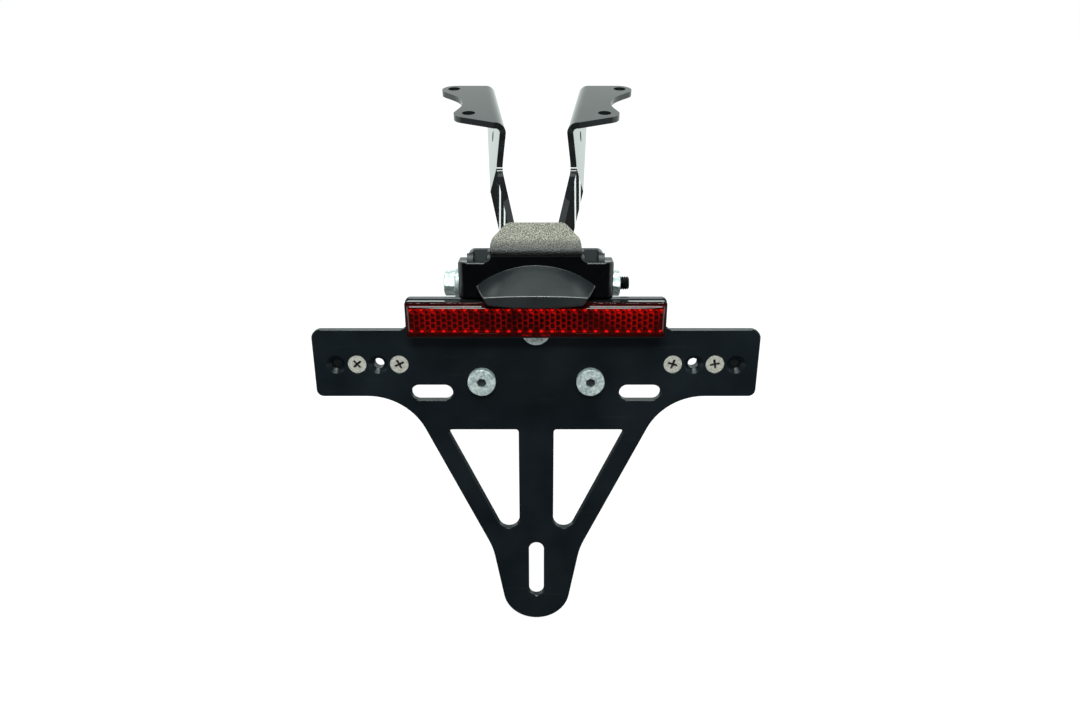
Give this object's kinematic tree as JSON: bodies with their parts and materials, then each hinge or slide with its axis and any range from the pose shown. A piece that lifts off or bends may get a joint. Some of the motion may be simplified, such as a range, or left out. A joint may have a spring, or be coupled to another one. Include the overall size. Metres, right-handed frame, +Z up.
{
  "type": "tail tidy",
  "caption": "Tilting number-plate holder for a motorbike: folded arms, hinge block with lamp and cover, reflector, and a slotted carrier plate with triangular windows.",
  "frame": {"origin": "midway between the rear pair of tab holes, on the top face of the tabs", "axes": "+X to the bike's right, +Y forwards along the bike, +Z up out of the tabs"},
  "size_m": [0.19, 0.1995, 0.1986],
  "materials": {
    "arm_coat": "semi-gloss black powder coat on folded steel",
    "plate_coat": "satin blue-black powder coat",
    "bracket_coat": "satin black powder coat",
    "block_plastic": "moulded black nylon with a soft gloss",
    "cover_grain": "pebble-grained dark grey moulding",
    "hood_plastic": "satin dark slate moulding",
    "lamp_clear": "clear moulded lens",
    "board_green": "lacquered circuit board",
    "diode_white": "white diode package",
    "reflector_black": "black moulded tray",
    "reflector_red": "red prismatic reflector",
    "foam_pad": "black adhesive foam",
    "bright_zinc": "bright zinc plating",
    "satin_nickel": "satin nickel plating",
    "black_steel": "black oxide screw"
  },
  "bodies": {
    "arms": {"left_arm": "arm_coat", "right_arm": "arm_coat", "centre_spacer": "bright_zinc"},
    "holder": {"hinge_block": "block_plastic", "hinge_cover": "cover_grain", "hinge_bolt": "bright_zinc", "hinge_washer": "bright_zinc", "hinge_nut": "bright_zinc", "arm_spacers": "block_plastic", "carrier_plate": "plate_coat", "carrier_screws": "bright_zinc", "carrier_nuts": "bright_zinc", "lamp_hood": "hood_plastic", "lamp_lens": "lamp_clear", "lamp_board": "board_green", "lamp_leds": "diode_white", "lamp_screws": "black_steel", "reflector_housing": "reflector_black", "reflector_lens": "reflector_red", "reflector_pad": "foam_pad", "left_indicator_bracket": "bracket_coat", "right_indicator_bracket": "bracket_coat", "bracket_screws": "satin_nickel", "bracket_nuts": "bright_zinc"}
  },
  "joints": [
    {"name": "plate_tilt", "type": "hinge", "parent": "arms", "child": "holder", "pos_m": [0, -0.0904, -0.0461], "axis": [1, 0, 0], "range_deg": [-15, 15]}
  ]
}
